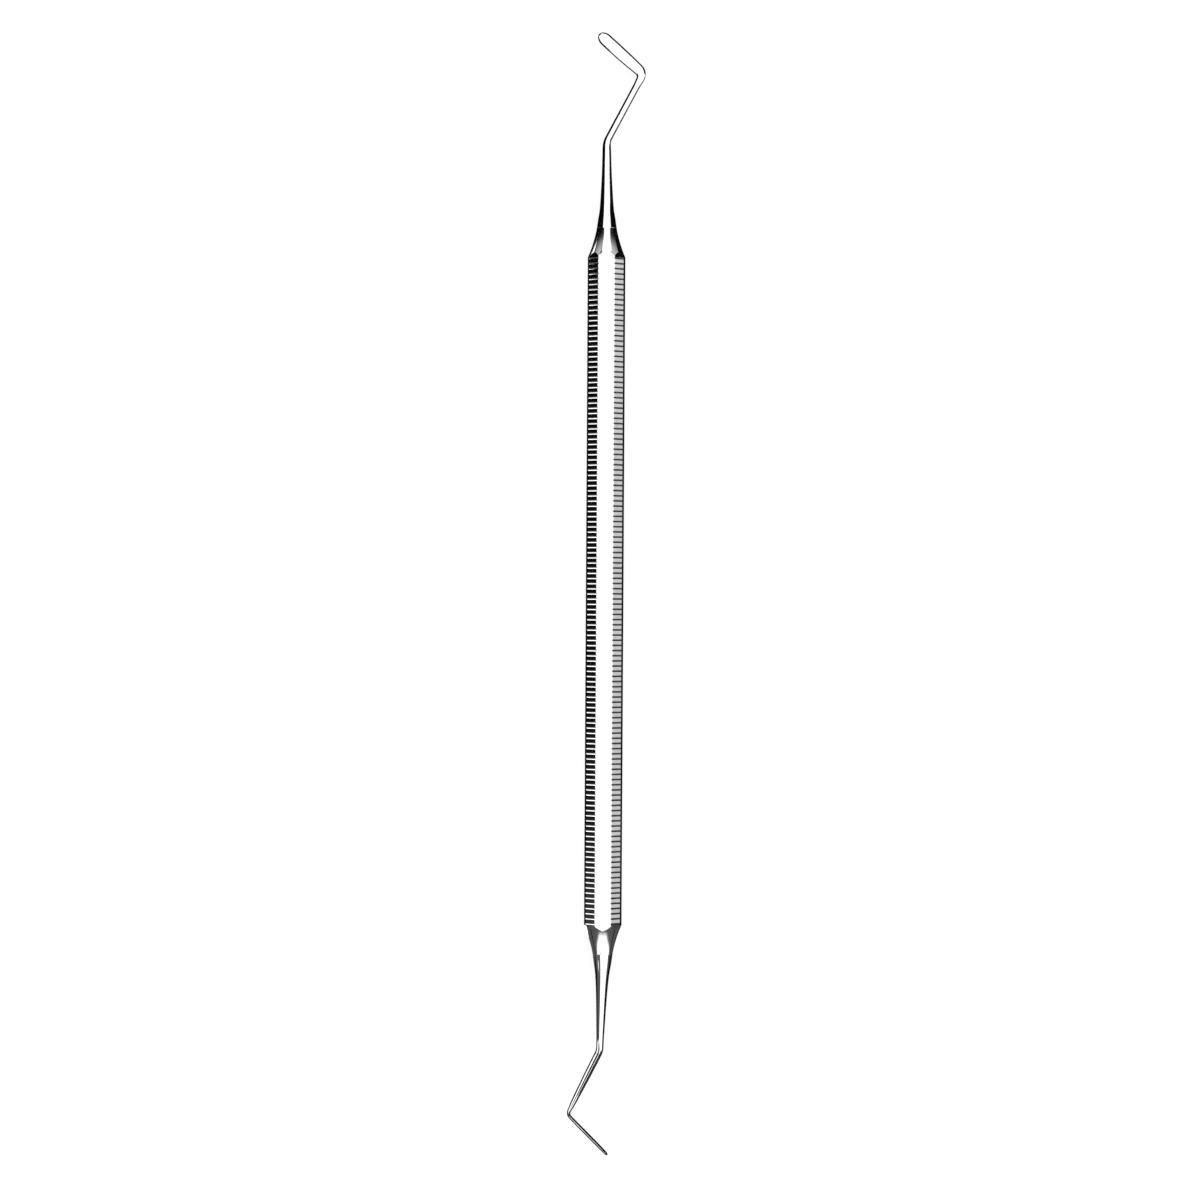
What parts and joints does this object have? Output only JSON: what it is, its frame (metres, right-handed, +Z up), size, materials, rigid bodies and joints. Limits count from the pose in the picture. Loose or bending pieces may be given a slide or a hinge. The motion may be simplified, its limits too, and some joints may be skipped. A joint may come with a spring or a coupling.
{
  "type": "dental filling spatula",
  "caption": "Slim steel filling spatula: cross-grooved grip with plain flats, tapered bent shanks and small round-pointed blades, set a quarter turn apart at opposite ends.",
  "frame": {"origin": "middle of the flat on the back of the handle, which the tool lies on", "axes": "+Y along the handle towards the end whose blade lies flat, +Z out of the front flat, +X to the right when +Y points away and +Z points up"},
  "size_m": [0.0116, 0.179, 0.0054],
  "materials": {
    "handle_steel": "fine polish on the flats and noses, satin in the grooves",
    "end_steel": "mirror polish",
    "braze_alloy": "silver brazing alloy, dressed flush"
  },
  "bodies": {
    "root": {"handle": "handle_steel", "upper_working_end": "end_steel", "lower_working_end": "end_steel", "upper_braze_joint": "braze_alloy", "lower_braze_joint": "braze_alloy"}
  },
  "joints": []
}
